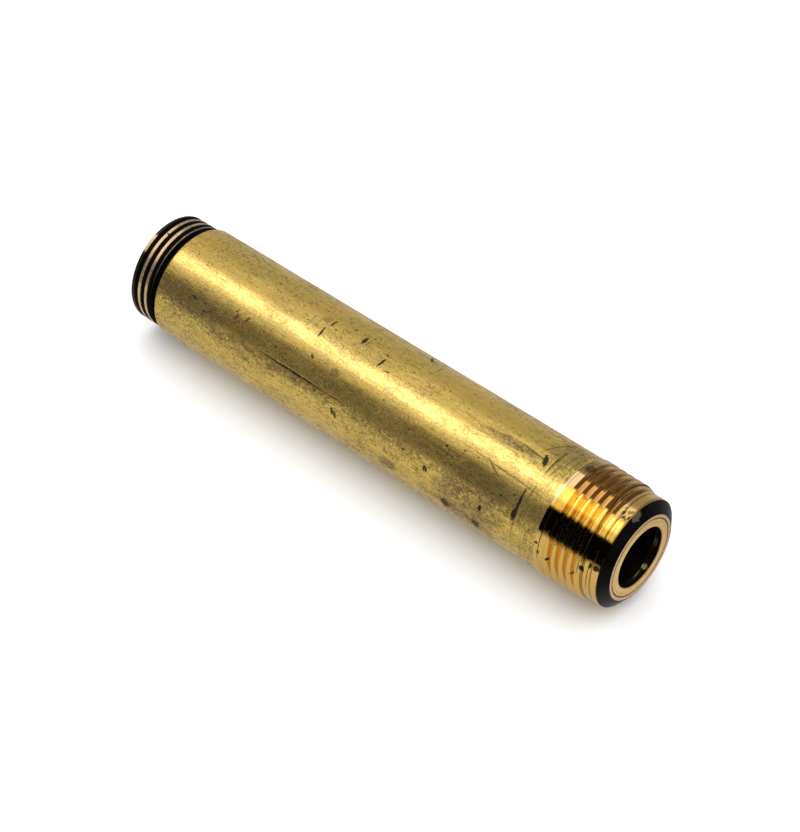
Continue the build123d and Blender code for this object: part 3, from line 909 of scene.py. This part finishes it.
# ----------------------------------------------------------------------- camera
# Where the near face's centre lies from the camera, in barrel radii: right,
# down and ahead. The lens is 2594.5 pixels over a frame 832 high.
ahead = np.array([3.66745, 2.16232, 39.57981]) * BARREL_R * MM
along = np.array([0.747686, 0.464644, -0.474451])
along /= np.linalg.norm(along)
tilt = math.atan2(along[1], -along[2])
up = np.array([0, -math.cos(tilt), -math.sin(tilt)])
side_axis = np.cross(up, along)
axes = np.stack([along, side_axis, up])
position = -(axes @ ahead)
turn = Matrix(
    (
        (axes[0][0], -axes[0][1], -axes[0][2], position[0]),
        (axes[1][0], -axes[1][1], -axes[1][2], position[1]),
        (axes[2][0], -axes[2][1], -axes[2][2], position[2]),
        (0, 0, 0, 1),
    )
)
data = bpy.data.cameras.new("camera")
data.sensor_width = 36.0
data.lens = 2594.5 * 36.0 / 832.0
data.clip_start = 0.01
data.clip_end = 20.0
camera = bpy.data.objects.new("camera", data)
bpy.context.scene.collection.objects.link(camera)
camera.matrix_world = turn
bpy.context.scene.camera = camera

# ----------------------------------------------------------------------- lights
scene = bpy.context.scene
scene.view_settings.view_transform = "Standard"
scene.view_settings.look = "None"
scene.view_settings.exposure = 0.0
scene.view_settings.gamma = 1.0

world = bpy.data.worlds.new("studio")
scene.world = world
world.use_nodes = True
nt = world.node_tree
nt.nodes.clear()


class Sky:
    def __init__(self, nt):
        self.nt = nt

    put = Nodes.put
    m = Nodes.m
    ramp = Nodes.ramp
    vmath = Nodes.vmath
    mul = Nodes.mul
    add = Nodes.add
    sub = Nodes.sub


sky = Sky(nt)
coord = nt.nodes.new("ShaderNodeTexCoord")
direction = sky.vmath("NORMALIZE", coord.outputs["Generated"])
sep = nt.nodes.new("ShaderNodeSeparateXYZ")
nt.links.new(direction, sep.inputs[0])
dx, dy, dz = sep.outputs
elevation = sky.mul(sky.m("ARCSINE", dz), 180 / math.pi)
azimuth = sky.mul(sky.m("ARCTAN2", dy, dx), 180 / math.pi)  # 0 is +X, 90 is +Y
# Half the angle round the barrel's axis: a barrel normal at this angle shows it.
E1 = (0.0, -0.609, 0.793)
E2 = (0.0, -0.793, -0.609)
half = sky.mul(
    sky.m("ARCTAN2", sky.vmath("DOT_PRODUCT", direction, E2), sky.vmath("DOT_PRODUCT", direction, E1)), 90 / math.pi
)
# what polished brass sees: a bright ceiling with a lamp along it, a dark room
# on one side and a dimmer one on the other
ceiling = sky.ramp(dx, -0.58, -0.37, 0.54, 1.0, "LINEAR")
over = sky.ramp(half, -40.0, -37.0)
seen = sky.add(sky.mul(ceiling, over), sky.mul(sky.sub(1.0, over), 0.42))
strip = sky.mul(sky.ramp(half, -22.0, -17.0), sky.ramp(half, -5.0, -9.0))
reach = sky.mul(sky.ramp(dx, -0.375, -0.425, 0.22, 1.0), sky.ramp(dx, -0.60, -0.48, 0.30, 1.0))
lamp = sky.mul(sky.mul(strip, reach), 3.0)
shadow_side = sky.mul(sky.ramp(half, 1.8, 4.6), sky.ramp(half, 62.0, 50.0))
seen = sky.mul(seen, sky.sub(1.0, sky.mul(shadow_side, 0.985)))
# towards +X it's dark low down, with one small light
low = sky.mul(sky.ramp(elevation, 14.0, 9.0), sky.ramp(sky.m("ABSOLUTE", sky.add(azimuth, 5.0)), 50.0, 38.0))
spot = sky.vmath("DOT_PRODUCT", direction, tuple(Vector((0.875, 0.372, 0.292)).normalized()))
spot = sky.ramp(spot, math.cos(math.radians(9)), math.cos(math.radians(4)))
end = sky.add(sky.mul(sky.sub(1.0, low), 0.26), sky.mul(spot, 2.4))
door = sky.mul(sky.ramp(sky.m("ABSOLUTE", sky.sub(azimuth, 7.0)), 13.0, 9.0), sky.ramp(elevation, 8.0, 5.0))
end = sky.add(sky.mul(end, sky.sub(1.0, sky.mul(shadow_side, 0.96))), sky.mul(door, 1.0))
end = sky.add(end, 0.012)
seen = sky.add(sky.mul(seen, sky.ramp(dx, 0.75, 0.45)), sky.mul(end, sky.ramp(dx, 0.45, 0.75)))
# and what lights the table and anything dull: a soft dome, weaker at -Y
turned_az = sky.m("WRAP", sky.add(azimuth, 80.0), 180.0, -180.0)
weak = sky.mul(sky.ramp(sky.m("ABSOLUTE", turned_az), 120.0, 80.0), sky.ramp(elevation, 50.0, 20.0))
dome = sky.mul(sky.ramp(elevation, 0.0, 80.0, 1.15, 2.15), sky.sub(1.0, sky.mul(weak, 0.65)))
path_node = nt.nodes.new("ShaderNodeLightPath")
is_diffuse = path_node.outputs["Is Diffuse Ray"]
light = sky.add(sky.mul(dome, is_diffuse), sky.mul(seen, sky.sub(1.0, is_diffuse)))
lamp = sky.mul(lamp, sky.sub(1.0, sky.m("MAXIMUM", is_diffuse, path_node.outputs["Is Camera Ray"])))
shown = sky.add(sky.mul(light, sky.sub(1.0, path_node.outputs["Is Camera Ray"])), path_node.outputs["Is Camera Ray"])
both = nt.nodes.new("ShaderNodeAddShader")
for k, (tint, strength) in enumerate((((1, 1, 1, 1), shown), ((1.0, 1.0, 1.35, 1), lamp))):
    bg = nt.nodes.new("ShaderNodeBackground")
    bg.inputs["Color"].default_value = tint
    sky.put(strength, bg.inputs["Strength"])
    nt.links.new(bg.outputs[0], both.inputs[k])
out = nt.nodes.new("ShaderNodeOutputWorld")
nt.links.new(both.outputs[0], out.inputs[0])

world.cycles.sampling_method = "NONE"
scene.cycles.use_denoising = True
scene.cycles.max_bounces = 12
scene.cycles.glossy_bounces = 8
scene.cycles.diffuse_bounces = 4
